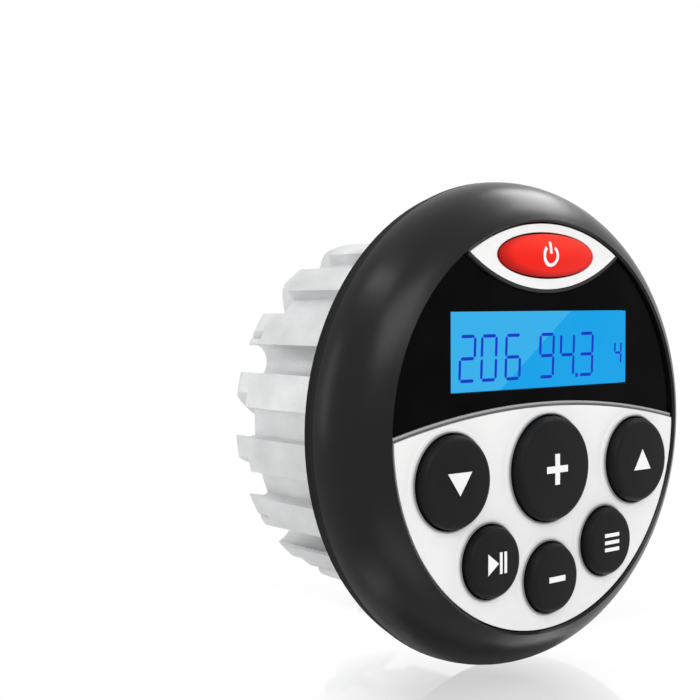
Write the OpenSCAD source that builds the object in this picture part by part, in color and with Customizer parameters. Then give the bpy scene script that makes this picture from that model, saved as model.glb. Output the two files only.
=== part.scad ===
// Round marine stereo for a gauge hole: keypad front, finned cast back, cable tail.
// Pieces are drawn face up, with the panel's front at z = 0, and stand() turns them upright.

/* [Front ring] */
// Outer diameter of the bezel
bezel_d = 110; // [106:0.5:114]
// Width of the ring from the face's edge to the rim
ring_w = 10.1; // [9.8:0.1:10.6]
// Height of the bezel's straight rim
bezel_rim = 0.6; // [0.4:0.1:1.2]
// Radius of the bezel's rounded shoulder
bezel_round = 16; // [15.5:0.25:16.5]
// Chamfer on the bezel's inner lip
lip_chamfer = 0.7; // [0.3:0.1:1]
// Thickness of the panel gasket
gasket_t = 2.4; // [1.6:0.1:3.2]
// Step from the bezel's rim in to the gasket's edge
gasket_step = 0.6; // [0.2:0.1:1.5]

/* [Face] */
// Height of the face above the panel
face_h = 17; // [16.4:0.1:17.2]
// Thickness of the face pieces
face_t = 2; // [1.6:0.1:2.4]
// Depth of the display window below the keypad
window_drop = 0.8; // [0.4:0.1:0.9]
// Height where the window meets the keypad, on the centre line
split_y = 5.6; // [5:0.1:6]
// Radius of the line between window and keypad
split_r = 200; // [150:10:300]
// Width of the grey line between window and keypad
trim_w = 0.9; // [0.6:0.1:1.2]
// Lowest point of the white patch round the power key
lens_y = 30.5; // [30.2:0.1:31]
// Radius of that patch's lower edge
lens_r = 39.6; // [36:0.2:42]
// Width of the dark rim under that patch
lens_rim = 0.8; // [0.6:0.1:1.3]

/* [Display] */
// Visible width of the display
lcd_w = 57; // [50:0.5:58]
// Visible height of the display
lcd_h = 17; // [14:0.5:17.5]
// Height of the display's centre
lcd_y = 17.2; // [16.8:0.1:17.6]
// Glass round the visible area
lcd_border = 2; // [1.5:0.1:2.2]
// Thickness of the display glass
lcd_t = 2; // [1.6:0.1:2.4]
// Thickness of the backlight
backlight_t = 3; // [2:0.1:3.4]

/* [Keys] */
// Diameter of the volume up key
vol_up_d = 23.2; // [21:0.2:24]
// Height of the volume up key
vol_up_y = -9.1; // [-9.5:0.1:-8.8]
// Diameter of the two seek keys
seek_d = 19.6; // [17:0.2:20]
// Sideways place of the seek keys
seek_x = 29.7; // [29:0.1:30]
// Height of the seek keys
seek_y = -9.5; // [-10:0.1:-8]
// Diameter of the band and mode keys
band_d = 15.4; // [13:0.2:16]
// Sideways place of the band and mode keys
band_x = 18.7; // [18.2:0.1:19]
// Height of the band and mode keys
band_y = -27.5; // [-27.8:0.1:-27]
// Diameter of the volume down key
vol_down_d = 15.3; // [13:0.1:15.8]
// Height of the volume down key
vol_down_y = -33.4; // [-33.8:0.1:-33]
// Width of the power key
power_w = 30.5; // [26:0.5:31]
// Height of the power key's oval
power_h = 9.5; // [8:0.1:9.6]
// Height of the power key's centre
power_y = 37.9; // [37.5:0.1:38]
// How far the round keys stand out of the face
key_out = 3.2; // [1.8:0.1:3.6]
// How far the power key stands out of the face
power_out = 1.3; // [1.1:0.1:2]
// Rounding of the round keys' edges
key_round = 1.5; // [0.8:0.1:1.8]
// Travel of every key
key_travel = 1; // [0.5:0.1:1]
// Gap round every key
key_gap = 0.4; // [0.3:0.05:0.6]
// Countersink round every key hole
key_sink = 0.7; // [0.3:0.1:0.9]

/* [Housing] */
// Wall of the front housing
housing_wall = 1.7; // [1.4:0.1:1.8]
// Thickness of the deck behind the face
deck_t = 2; // [1.6:0.1:2.4]
// Thickness of the circuit boards
pcb_t = 1.6; // [1.2:0.1:2]
// Step from the face's edge in to the neck in the panel hole
neck_in = 0.7; // [0.6:0.1:1.1]
// Length of the neck's full ring
neck_len = 3; // [2:0.5:4]
// Length of the neck's keys between the ribs
neck_key = 4; // [2:0.5:5]

/* [Heatsink] */
// Depth of the unit behind the panel
body_depth = 43; // [40:0.5:46]
// Step from the neck in to the heatsink's wall between its ribs
rib_h = 3.2; // [2.6:0.1:3.6]
// Number of ribs and fins
fin_count = 18; // [18:18:36]
// Width of the side ribs
rib_w = 8.2; // [6:0.2:8.6]
// Rounding of the ribs' rear edge
rib_round = 3; // [1:0.25:3.5]
// Depth of the grooves between the fins
groove_depth = 18; // [14:0.5:19]
// Thickness of the wall round the grooves
rim_wall = 2.6; // [2:0.1:4]
// Depth of the notches that open the grooves over that wall
rim_notch = 6; // [3:0.5:12]
// Turn of a fin from hub to rim
fin_sweep = 43; // [34:1:48]
// Bow of a fin to either side of its chord
fin_bow = 25; // [16:1:30]
// Share of the pitch that a fin fills
fin_share = 0.38; // [0.3:0.02:0.46]
// Radius of the hub inside the fins
hub_r = 11; // [10:0.5:12]
// Thickness of the floor under the grooves
floor_t = 4; // [3:0.5:5]
// Radius of the screw pockets
pocket_r = 4.4; // [4:0.1:4.6]
// Step from the heatsink's wall in to the case screws
screw_in = 1; // [0.8:0.1:1.4]

/* [Cable] */
// Diameter of the cable sleeve
sleeve_d = 15; // [13:0.5:15]
// Step from the heatsink's wall in to the cable outlet's centre
outlet_in = 13.5; // [13:0.25:14.5]
// Bend radius of the sleeve
sleeve_bend = 10; // [9.5:0.5:12]
// Height of the sleeve's mouth
sleeve_end = -37; // [-37:0.5:-30]
// Diameter of a wire
wire_d = 2.2; // [1.6:0.1:2.2]
// Width of the cable strap
strap_w = 12.5; // [8:0.5:14]
// Thickness of the cable strap
strap_t = 1; // [0.6:0.1:1.2]

/* [Studs] */
// Distance between the mounting studs
stud_gap = 27; // [26.8:0.2:30]
// Height of the studs
stud_y = -1.5; // [-3:0.5:0]
// Radius of a stud
stud_r = 2.5; // [2:0.1:2.5]
// Length of a stud outside the heatsink
stud_len = 30; // [26:1:34]
// Place of the outer nuts on the studs
outer_nut_at = 14; // [13:0.5:16]

/* [Hidden] */

$fn = 96;
eps = 0.5;
// Gap between pieces that slide past or drop into one another
slip = 0.3;
// Gap between neighbouring inlays of the face
inlay_gap = 0.1;

bezel_r = bezel_d / 2;
face_r = bezel_r - ring_w;
face_gap = 0.4;
bezel_bore = face_r + face_gap;
bezel_mid_z = gasket_t + bezel_rim;
gasket_r = bezel_r - gasket_step;
housing_r = bezel_bore - slip;
housing_in = housing_r - housing_wall;
flange_t = 2;
flange_w = 2.5;
flange_r = housing_r + flange_w;
// The layout is drawn to its own edge outside the seek keys, then grown to fill the face
layout_edge = 5.4;
layout_r = seek_x + seek_d / 2 + layout_edge;
grow = face_r / layout_r;

face_z = face_h - face_t;
window_z = face_h - window_drop;
deck_z = face_z - deck_t;
board_lift = 0.6;
board_z = gasket_t + board_lift;
board_top = board_z + pcb_t;
board_edge = 0.5;
board_r = housing_in - board_edge;
board_boss_r = 2.3;
board_boss_in = 2.8;
board_boss_at = [for (a = [53, 127, 254, 286]) polar(board_r - board_boss_in, a)];
board_relief = 2.4;
board_grip = 4;

lens_at = grow * [0, lens_y + lens_r];
split_at = grow * [0, split_y - split_r];

lcd_at = grow * [0, lcd_y];
view_size = grow * [lcd_w, lcd_h];
lcd_size = view_size + 2 * lcd_border * [1, 1];
lcd_z = face_z - lcd_t;
backlight_z = lcd_z - backlight_t;
frame_floor = 1.2;
frame_wall = 1.2;
frame_slip = slip / 2;
frame_leg_r = 2;

power_at = grow * [0, power_y];
power_half = grow * [power_w, power_h] / 2;
vol_up_at = grow * [0, vol_up_y];
vol_up_r = grow * vol_up_d / 2;
vol_down_at = grow * [0, vol_down_y];
vol_down_r = grow * vol_down_d / 2;
seek_down_at = grow * [-seek_x, seek_y];
seek_up_at = grow * [seek_x, seek_y];
seek_r = grow * seek_d / 2;
band_at = grow * [-band_x, band_y];
mode_at = grow * [band_x, band_y];
band_r = grow * band_d / 2;
key_top = face_h + key_out;
power_top = face_h + power_out;
key_dome = 0.25;
key_edge_turn = 84;
key_stem_r = 2.4;
key_flange = 0.9;
key_flange_t = 1.1;
key_flange_z = deck_z - slip - key_flange_t;
switch_w = 6;
switch_h = 3.5;
plunger_r = 1.7;
plunger_out = 1.3;
plunger_in = 1.6;
plunger_top = board_top + switch_h + plunger_out;

seal_t = 0.8;
// Step from the neck's full ring in to everything before and behind it
neck_step = 0.5;
neck_r = face_r - neck_in;
core_r = neck_r - rib_h;
sink_z = -neck_len - seal_t;
back_z = -body_depth;
floor_back = back_z + groove_depth;
floor_front = floor_back + floor_t;
rib_r = neck_r - neck_step;
pitch = 360 / fin_count;
case_wall = 3;
bay_r = core_r - case_wall;
screw_ring = core_r - screw_in;
case_grip = 2.8;
shelf_z = sink_z - 4.2;
pocket_wall = 1.4;
pocket_angles = [20, 140, 200, 320];
screw_r = 1.5;
screw_head_r = 2.8;
screw_head_t = 2.2;
collar_lip = 1.6;
collar_in = bay_r - collar_lip;

fin_start = polar(hub_r, 0);
fin_chord = polar(core_r, fin_sweep) - fin_start;
fin_heading = atan2(fin_chord.y, fin_chord.x) - fin_bow;
fin_r = norm(fin_chord) / (2 * sin(fin_bow));
fin_centre = fin_start + fin_r * [-sin(fin_heading), cos(fin_heading)];
fin_half = pitch * fin_share / 2;

outlet_y = core_r - outlet_in;
sleeve_r = sleeve_d / 2;
grommet_r = sleeve_r + 1.6;
outlet_r = grommet_r + 0.1;
arch_wall = 1.6;
sleeve_lift = 0.5;
sleeve_z = back_z - sleeve_r - sleeve_lift;
sleeve_wall = 1;
sleeve_bore = sleeve_r - sleeve_wall;
sleeve_bore_depth = 5;
plug_t = 4.4;
plug_size = [11, 8];

main_lift = 8;
main_z = floor_front + main_lift;
main_back = main_z - pcb_t;
main_disc_r = 33.6;
main_r = grow * main_disc_r;
main_boss_r = 3.2;
main_boss_in = 4.2;
main_boss_at = [for (a = [16, 164, 222, 318]) polar(main_r - main_boss_in, a)];
main_grip = 4.6;
small_screw_r = 1.25;
small_head_r = 2.4;
small_head_t = 1.8;

strap_in = sleeve_r + 0.1;
strap_out = strap_in + strap_t;
ear_end = stud_gap / 2 + 6;
stud_embed = 6;
thread_r = stud_r - 0.25;
nut_gap = 0.1;
washer_r = 4.6;
washer_t = 1;
spring_t = 1.3;
hex_r = 8 / 2 / cos(30);
nut_t = 4;
nut_flange_r = 6;
nut_flange_t = 1.2;
spring_z = back_z - strap_t - washer_t - spring_t;
bracket_z = back_z - outer_nut_at;

header_spot = [0, -24];
header_at = grow * header_spot;
header_size = [20, 5];
header_h = 8.5;
chip_spot = [0, -4];
chip_at = grow * chip_spot;
chip_size = [19.6, 16];
chip_t = 4.4;
lead_pitch = 2.54;
lead_size = [0.8, 0.6];
lead_out = 2.4;
lead_root = 0.3;
pad_t = 0.5;
clip_w = 8;
clip_t = 0.8;
clip_foot = 6;
clip_grip = 2;
clip_side = chip_size.x / 2 + slip;
clip_reach = clip_side + clip_t + clip_foot / 2;
can_spot = [-17, 2];
can_at = grow * can_spot;
can_plan = [15, 20];
can_size = grow * can_plan;
can_t = 5.5;
cap_spots = [[14, 14], [23, 0], [13, 2]];
cap_at = grow * cap_spots;
cap_r = 4;
cap_h = 10;

// Routes of the wires, from inside the sleeve's mouth to the bare ends, upright, in millimetres
wire_floor = -53.9;
black_route = [
    [1.7, 46.5, -32], [5.5, 46.5, -42], [26, 46, -52],
    [41, 47, -53.9], [73, 56, -53.9], [105, 72, -53.9]
];
green_route = [
    [-2.3, 48, -32], [1.5, 48.5, -43], [23, 50, -52.5],
    [39, 52, -53.9], [71, 63, -53.9], [101, 81, -53.9]
];
red_route = [
    [1.7, 49.5, -32], [5.5, 50, -42], [26, 53, -52],
    [41, 57.5, -53.9], [69, 70, -53.9], [95, 89, -53.9]
];
grey_route = [
    [-2.3, 51, -32], [1.5, 51.8, -43], [22, 56.4, -52.5],
    [37, 62.5, -53.9], [63, 77, -53.9], [87, 97, -53.9]
];
white_route = [
    [1.7, 52.3, -32], [5.4, 53, -42], [24, 60, -52],
    [36, 67.5, -53.9], [59, 83, -53.9], [81, 104, -53.9]
];
violet_route = [
    [-2.3, 54, -32], [1.6, 55.2, -43], [20, 63.4, -52.5],
    [32, 71, -53.9], [55, 87, -53.9], [77, 108, -53.9]
];
brown_route = [
    [1.7, 55.4, -32], [4.4, 56.2, -41], [20, 67.5, -51.5],
    [30, 75.4, -53.9], [51, 92, -53.9], [72, 114, -53.9]
];
teal_route = [
    [-5.1, 51, -32], [-3.6, 51.5, -43], [11, 61, -52.5],
    [23, 74.5, -53.9], [45, 94, -53.9], [65, 116, -53.9]
];
wire_steps = 2;
wire_sides = 8;
wire_side_way = [-0.6, 0.8, 0];

function polar(r, a) = [r * cos(a), r * sin(a)];

// Points of an arc about a centre, ends included
function arc(centre, r, from, to, n) = [for (i = [0:n]) centre + polar(r, from + (to - from) * i / n)];

// Points of an oval
function oval(half_w, half_h, n = 64) = [for (i = [0:n - 1])
    let (a = 360 * i / n) [half_w * cos(a), half_h * sin(a)]];

// Angles where the case screws stand, as seen from the front
function screw_at(i) = polar(screw_ring, 180 - pocket_angles[i]);

// A smooth curve through a list of points, kept above the floor
function blend(a, b, c, d, t) = 0.5 * (2 * b + (c - a) * t + (2 * a - 5 * b + 4 * c - d) * t * t
    + (3 * b - a - 3 * c + d) * t * t * t);
function point_of(p, i) = p[max(0, min(len(p) - 1, i))];
function raised(p) = [p.x, p.y, max(p.z, wire_floor)];
function smooth_route(p) = concat(
    [for (i = [0:len(p) - 2], k = [0:wire_steps - 1])
        raised(blend(point_of(p, i - 1), p[i], p[i + 1], point_of(p, i + 2), k / wire_steps))],
    [p[len(p) - 1]]);
function unit(v) = v / norm(v);

module stand() {
    rotate([90, 0, 0]) children();
}

module disc(r, z0, z1) {
    translate([0, 0, z0]) cylinder(r = r, h = z1 - z0);
}

module ring(r_out, r_in, z0, z1) {
    difference() {
        disc(r_out, z0, z1);
        disc(r_in, z0 - eps, z1 + eps);
    }
}

module slab(z0, z1) {
    translate([0, 0, z0]) linear_extrude(z1 - z0) children();
}

module at_each(places) {
    for (p = places) translate(p) children();
}

module at_screws() {
    for (i = [0:len(pocket_angles) - 1]) translate(screw_at(i)) children();
}

// Front ring and gasket
module bezel_ring() {
    shoulder = [bezel_r - bezel_round, bezel_mid_z];
    lip_z = bezel_mid_z + sqrt(bezel_round * bezel_round - pow(bezel_bore - shoulder.x, 2));
    color("#1c1c1e") stand() difference() {
        rotate_extrude() difference() {
            union() {
                translate([bezel_bore, gasket_t]) square([bezel_r - bezel_bore, bezel_rim]);
                intersection() {
                    translate(shoulder) circle(bezel_round);
                    translate([bezel_bore, bezel_mid_z]) square([bezel_round, 2 * bezel_round]);
                }
            }
            polygon([
                [bezel_bore - eps, lip_z + eps],
                [bezel_bore + lip_chamfer + eps, lip_z + eps],
                [bezel_bore - eps, lip_z - lip_chamfer - eps]
            ]);
        }
        disc(flange_r + slip, gasket_t - eps, gasket_t + flange_t);
    }
}

module panel_gasket() {
    color("#101012") stand() ring(gasket_r, neck_r + slip, 0, gasket_t);
}

// Housing behind the face, with the board bosses and the bosses for the case screws
module front_housing() {
    boss_top = gasket_t + 4;
    color("#26262a") stand() difference() {
        union() {
            ring(housing_r, housing_in, gasket_t, face_z);
            disc(housing_r - eps, deck_z, face_z);
            ring(flange_r, housing_in + eps, gasket_t, gasket_t + flange_t);
            at_each(board_boss_at) disc(board_boss_r, board_top, deck_z + eps);
            intersection() {
                at_screws() disc(screw_r + 1.9, gasket_t, boss_top);
                disc(housing_r - eps, gasket_t, boss_top);
            }
        }
        slab(deck_z - eps, face_z + eps) key_holes();
        slab(deck_z - eps, face_z + eps) lcd_outline(slip);
        at_each(board_boss_at) disc(small_screw_r + 0.05, board_top - eps, board_top + board_grip + slip);
        at_screws() disc(screw_r + 0.1, gasket_t - eps, gasket_t + case_grip + slip);
    }
}

// Outlines of the face
module face_disc() {
    circle(face_r, $fn = 160);
}

module split_disc(step) {
    translate(split_at) circle(grow * split_r + step, $fn = 360);
}

module lens_disc(step) {
    translate(lens_at) circle(grow * lens_r + step, $fn = 160);
}

module round_holes() {
    translate(vol_up_at) circle(vol_up_r + key_gap);
    translate(vol_down_at) circle(vol_down_r + key_gap);
    at_each([seek_down_at, seek_up_at]) circle(seek_r + key_gap);
    at_each([band_at, mode_at]) circle(band_r + key_gap);
}

module power_hole() {
    translate(power_at) polygon(oval(power_half.x + key_gap, power_half.y + key_gap));
}

module key_holes() {
    round_holes();
    power_hole();
}

module sink_cone(at, r) {
    hole_r = r + key_gap;
    translate([at.x, at.y, face_h - key_sink])
        cylinder(r1 = hole_r, r2 = hole_r + key_sink + eps, h = key_sink + eps);
}

module keypad_fascia() {
    color("#f1f1f0") stand() difference() {
        slab(face_z, face_h) intersection() {
            face_disc();
            split_disc(-trim_w - inlay_gap);
        }
        slab(face_z - eps, face_h + eps) round_holes();
        sink_cone(vol_up_at, vol_up_r);
        sink_cone(vol_down_at, vol_down_r);
        sink_cone(seek_down_at, seek_r);
        sink_cone(seek_up_at, seek_r);
        sink_cone(band_at, band_r);
        sink_cone(mode_at, band_r);
    }
}

module display_window() {
    color("#08080a") stand() slab(face_z, window_z) difference() {
        face_disc();
        split_disc(inlay_gap);
        lens_disc(lens_rim + inlay_gap);
        lcd_view(0);
    }
}

module window_trim() {
    color("#8f9092") stand() slab(face_z, face_h - window_drop / 2) intersection() {
        face_disc();
        difference() {
            split_disc(0);
            split_disc(-trim_w);
        }
    }
}

module power_surround() {
    color("#eeeeec") stand() slab(face_z, face_h) difference() {
        intersection() {
            face_disc();
            lens_disc(0);
        }
        power_hole();
    }
}

module power_trim() {
    color("#2b2b2d") stand() slab(face_z, face_h) intersection() {
        face_disc();
        difference() {
            lens_disc(lens_rim);
            lens_disc(inlay_gap);
        }
    }
}

// Display, from the glass back to its frame
module lcd_outline(step) {
    translate(lcd_at) square(lcd_size + 2 * step * [1, 1], center = true);
}

module lcd_view(step) {
    translate(lcd_at) square(view_size + 2 * step * [1, 1], center = true);
}

// The glass, with a step that fills the window's opening
module lcd_glass() {
    color("#1fa6ea") stand() {
        slab(lcd_z, face_z) lcd_outline(0);
        slab(face_z - eps, window_z - inlay_gap) lcd_view(-inlay_gap);
    }
}

module lcd_backlight() {
    color("#f4f6f2") stand() slab(backlight_z, lcd_z) lcd_outline(0);
}

module frame_outline() {
    intersection() {
        lcd_outline(frame_slip + frame_wall);
        circle(housing_in - slip);
    }
}

module lcd_frame() {
    leg = [lcd_size.x / 2 - 8, lcd_size.y / 2 - 3];
    color("#303034") stand() {
        slab(backlight_z - frame_floor, backlight_z) frame_outline();
        slab(backlight_z - eps, deck_z - 0.1) difference() {
            frame_outline();
            lcd_outline(frame_slip);
        }
        for (sx = [-1, 1], sy = [-1, 1])
            translate([sx * leg.x, lcd_at.y + sy * leg.y])
                disc(frame_leg_r, board_top, backlight_z - frame_floor + eps);
    }
}

// Front board and its switches
module front_board() {
    color("#1f6b3a") stand() slab(board_z, board_top) difference() {
        circle(board_r);
        at_screws() circle(screw_r + board_relief);
        at_each(board_boss_at) circle(small_screw_r + 0.1);
    }
}

module front_board_screws() {
    color("#b9bcc0") stand() at_each(board_boss_at) {
        disc(small_head_r, board_z - small_head_t, board_z);
        disc(small_screw_r, board_z - eps, board_top + board_grip);
    }
}

module tact_switches() {
    hole_depth = plunger_in + key_travel + slip;
    top = board_top + switch_h;
    places = [power_at, vol_up_at, vol_down_at, seek_down_at, seek_up_at, band_at, mode_at];
    color("#2e2e30") stand() at_each(places) difference() {
        slab(board_top, top) square(switch_w, center = true);
        disc(plunger_r + slip / 2, top - hole_depth, top + eps);
    }
}

module plunger(at) {
    color("#b0482c") stand() translate(at)
        disc(plunger_r, plunger_top - plunger_out - plunger_in, plunger_top);
}

// A round key with a rounded edge, a flange under the deck and a stem on its switch
module round_key(at, r) {
    edge = [r - key_round, key_top - key_dome - key_round];
    color("#262628") stand() translate(at) rotate_extrude() polygon(concat(
        [[0, plunger_top], [key_stem_r, plunger_top], [key_stem_r, key_flange_z]],
        [[r + key_flange, key_flange_z], [r + key_flange, key_flange_z + key_flange_t]],
        [[r, key_flange_z + key_flange_t]],
        arc(edge, key_round, 0, key_edge_turn, 8),
        [[r * 0.45, key_top - key_dome / 4], [0, key_top]]
    ));
}

module power_key() {
    dome_x = 110;
    dome_y = 10;
    color("#d8261c") stand() translate(power_at) {
        intersection() {
            slab(key_flange_z, power_top + eps) polygon(oval(power_half.x, power_half.y));
            translate([0, 0, power_top - dome_x]) rotate([90, 0, 0])
                rotate_extrude($fn = 360) translate([dome_x - dome_y, 0]) circle(dome_y);
        }
        slab(key_flange_z, key_flange_z + key_flange_t)
            polygon(oval(power_half.x + 1.2, power_half.y - 0.8));
        disc(key_stem_r, plunger_top, key_flange_z + eps);
    }
}

// Neck, seal and heatsink
module rib_bars(step) {
    for (i = [0:fin_count - 1]) rotate(90 + i * pitch) translate([0, -rib_w / 2 - step])
        square([neck_r + 1, rib_w + 2 * step]);
}

module bay_outline() {
    difference() {
        circle(bay_r);
        at_screws() circle(pocket_r + pocket_wall);
    }
}

module neck_collar() {
    color("#3a3a3c") stand() difference() {
        union() {
            ring(neck_r, collar_in, -neck_len, 0);
            ring(neck_r - neck_step, collar_in, -eps, gasket_t);
            slab(-neck_len - neck_key, -neck_len) difference() {
                circle(neck_r - neck_step);
                circle(core_r + slip);
                rib_bars(slip);
                at_screws() circle(pocket_r);
            }
        }
        at_screws() disc(screw_r + 0.2, -neck_len - neck_key - eps, gasket_t + eps);
        at_each(board_boss_at) disc(small_head_r + slip, board_z - small_head_t - slip, gasket_t + eps);
    }
}

module case_seal() {
    color("#141416") stand() slab(sink_z, -neck_len) difference() {
        circle(core_r);
        bay_outline();
        at_screws() circle(screw_r + 0.2);
    }
}

// One groove between two fins out to a radius, seen from the back
module fin_edge(i, side) {
    rotate(90 - fin_sweep + i * pitch + side * fin_half) translate(fin_centre) circle(fin_r);
}

module groove(i, r) {
    difference() {
        intersection() {
            circle(r);
            fin_edge(i, 1);
        }
        fin_edge(i + 1, -1);
        hub_outline();
        arch_outline();
        for (a = pocket_angles) translate(polar(screw_ring, a)) circle(pocket_r + pocket_wall);
    }
}

module hub_outline() {
    circle(hub_r);
    for (s = [-1, 1]) translate([s * stud_gap / 2, stud_y]) circle(washer_r + 1.2);
}

module arch_outline() {
    intersection() {
        translate([0, outlet_y]) circle(outlet_r + arch_wall);
        translate([-core_r, outlet_y - 3]) square(2 * core_r);
    }
}

module heatsink_shell() {
    intersection() {
        slab(back_z, sink_z) union() {
            circle(core_r);
            rib_bars(0);
        }
        rotate_extrude() polygon(concat(
            [[0, sink_z], [0, back_z]],
            arc([rib_r - rib_round, back_z + rib_round], rib_round, -90, 0, 6),
            [[rib_r, sink_z]]
        ));
    }
}

module heatsink_body() {
    color("#d5d7d8") stand() difference() {
        union() {
            difference() {
                heatsink_shell();
                slab(floor_front, sink_z + eps) bay_outline();
                mirror([1, 0, 0]) for (i = [0:fin_count - 1]) {
                    slab(back_z - eps, floor_back) groove(i, core_r - rim_wall);
                    slab(back_z - eps, back_z + rim_notch) groove(i, neck_r);
                }
                at_screws() disc(pocket_r, back_z - eps, shelf_z);
            }
            at_screws() disc(screw_r + 1.7, shelf_z, sink_z);
            at_each(main_boss_at) disc(main_boss_r, floor_front - eps, main_back);
        }
        translate([0, outlet_y]) disc(outlet_r, back_z - eps, floor_front + eps);
        at_screws() disc(screw_r + 0.1, shelf_z - eps, sink_z + eps);
        at_each(main_boss_at) disc(small_screw_r + 0.05, main_back - main_grip - slip, main_back + eps);
        at_studs() disc(thread_r + 0.05, back_z - eps, back_z + stud_embed);
        at_clip_screws() disc(small_screw_r + 0.05, floor_front - clip_grip - slip, floor_front + eps);
    }
}

module case_screws() {
    color("#c3c6c9") stand() at_screws() {
        disc(screw_head_r, shelf_z - screw_head_t, shelf_z);
        disc(screw_r, shelf_z - eps, gasket_t + case_grip);
    }
}

// Main board and what it carries
module main_board() {
    color("#1d5f7a") stand() slab(main_back, main_z) difference() {
        circle(main_r);
        at_each(main_boss_at) circle(small_screw_r + 0.1);
    }
}

module board_screws() {
    color("#b9bcc0") stand() at_each(main_boss_at) {
        disc(small_head_r, main_z, main_z + small_head_t);
        disc(small_screw_r, main_back - main_grip, main_z + eps);
    }
}

module board_header() {
    color("#3b3b40") stand() slab(main_z, main_z + header_h)
        translate(header_at) square(header_size, center = true);
}

module board_socket() {
    color("#d9d4c4") stand() slab(main_z + header_h, board_z)
        translate(header_at) square(header_size, center = true);
}

module harness_plug() {
    color("#e7e3d6") stand() slab(main_back - plug_t, main_back)
        translate([0, outlet_y]) square(plug_size, center = true);
}

module thermal_pad() {
    color("#8fa3b5") stand() slab(floor_front, floor_front + pad_t)
        translate(chip_at) square(chip_size, center = true);
}

module amp_chip() {
    lead_h = main_back - floor_front - pad_t;
    lead_y = chip_size.y / 2 - lead_root;
    color("#202024") stand() translate([chip_at.x, chip_at.y, floor_front + pad_t]) {
        slab(0, chip_t) square(chip_size, center = true);
        for (i = [-3:3]) translate([i * lead_pitch - lead_size.x / 2, lead_y, chip_t / 2]) {
            cube([lead_size.x, lead_out, lead_size.y]);
            translate([0, lead_out - lead_size.y, 0]) cube([lead_size.x, lead_size.y, lead_h - chip_t / 2]);
        }
    }
}

module at_clip_screws() {
    for (s = [-1, 1]) translate([chip_at.x + s * clip_reach, chip_at.y]) children();
}

module amp_clip() {
    top = floor_front + pad_t + chip_t;
    color("#c9cccf") stand() difference() {
        translate([chip_at.x, chip_at.y - clip_w / 2, 0]) {
            translate([-clip_side - clip_t, 0, top]) cube([2 * (clip_side + clip_t), clip_w, clip_t]);
            for (s = [0, 1]) mirror([s, 0, 0]) {
                translate([clip_side, 0, floor_front]) cube([clip_t, clip_w, top - floor_front + clip_t]);
                translate([clip_side, 0, floor_front]) cube([clip_t + clip_foot, clip_w, clip_t]);
            }
        }
        at_clip_screws() disc(small_screw_r + 0.15, floor_front - eps, floor_front + clip_t + eps);
    }
}

module clip_screws() {
    color("#b9bcc0") stand() at_clip_screws() {
        disc(small_head_r, floor_front + clip_t, floor_front + clip_t + small_head_t);
        disc(small_screw_r, floor_front - clip_grip, floor_front + clip_t + eps);
    }
}

module tuner_can() {
    color("#b4b7ba") stand() slab(main_z, main_z + can_t) translate(can_at) square(can_size, center = true);
}

module capacitors() {
    color("#2a3b6e") stand() at_each(cap_at) disc(cap_r, main_z, main_z + cap_h);
}

// Cable outlet, strap and studs
module cable_grommet() {
    color("#161618") stand() translate([0, outlet_y]) difference() {
        union() {
            disc(grommet_r, floor_back - 1, floor_front + eps);
            disc(grommet_r + 1.2, floor_front, floor_front + 1.2);
        }
        disc(sleeve_r + 0.1, floor_back - 2, floor_front + 2);
    }
}

module cable_sleeve() {
    bend_z = sleeve_z + sleeve_bend;
    bend_y = outlet_y - sleeve_bend;
    color("#202022") stand() difference() {
        union() {
            translate([0, outlet_y]) disc(sleeve_r, bend_z, main_back - plug_t);
            translate([0, bend_y, bend_z]) rotate([0, -90, 0]) rotate([0, 0, 90])
                rotate_extrude(angle = 90) translate([sleeve_bend, 0]) circle(sleeve_r);
            translate([0, bend_y, sleeve_z]) rotate([90, 0, 0])
                cylinder(r = sleeve_r, h = bend_y - sleeve_end);
        }
        translate([0, sleeve_end + sleeve_bore_depth, sleeve_z]) rotate([90, 0, 0])
            cylinder(r = sleeve_bore, h = sleeve_bore_depth + eps);
    }
}

module strap_outline() {
    centre_h = back_z - sleeve_z;
    difference() {
        union() {
            intersection() {
                translate([0, centre_h]) circle(strap_out);
                translate([-strap_out, centre_h]) square([2 * strap_out, strap_out]);
            }
            translate([-strap_out, 0]) square([2 * strap_out, centre_h]);
            translate([-ear_end, 0]) square([2 * ear_end, strap_t]);
        }
        intersection() {
            translate([0, centre_h]) circle(strap_in);
            translate([-strap_in, centre_h]) square([2 * strap_in, strap_in]);
        }
        translate([-strap_in, -eps]) square([2 * strap_in, centre_h + eps]);
    }
}

module cable_strap() {
    ear_at = ear_end - strap_w / 2;
    color("#cfd2d5") stand() difference() {
        intersection() {
            translate([0, stud_y - strap_w / 2, back_z]) rotate([-90, 0, 0])
                linear_extrude(strap_w) strap_outline();
            translate([0, stud_y]) slab(sleeve_z - strap_out - eps, back_z + eps) {
                square([2 * ear_at, strap_w], center = true);
                for (s = [-1, 1]) translate([s * ear_at, 0]) circle(strap_w / 2);
            }
        }
        at_studs() disc(stud_r + 0.2, back_z - strap_t - eps, back_z + eps);
    }
}

module at_studs() {
    for (s = [-1, 1]) translate([s * stud_gap / 2, stud_y]) children();
}

// Studs, as a core at the thread's pitch radius with the full thread where no nut covers it
module mounting_studs() {
    tip = 1;
    end_z = back_z - stud_len;
    color("#c6c9cc") stand() at_studs() {
        disc(thread_r, end_z + tip, back_z + stud_embed - slip);
        disc(stud_r, bracket_z + nut_gap, spring_z - nut_t - nut_gap);
        disc(stud_r, end_z + tip, bracket_z - nut_flange_t - nut_t - nut_gap);
        translate([0, 0, end_z]) cylinder(r1 = stud_r - tip, r2 = stud_r, h = tip);
    }
}

module flat_washers() {
    color("#d2d5d8") stand() at_studs()
        ring(washer_r, stud_r + 0.15, back_z - strap_t - washer_t, back_z - strap_t);
}

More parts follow.
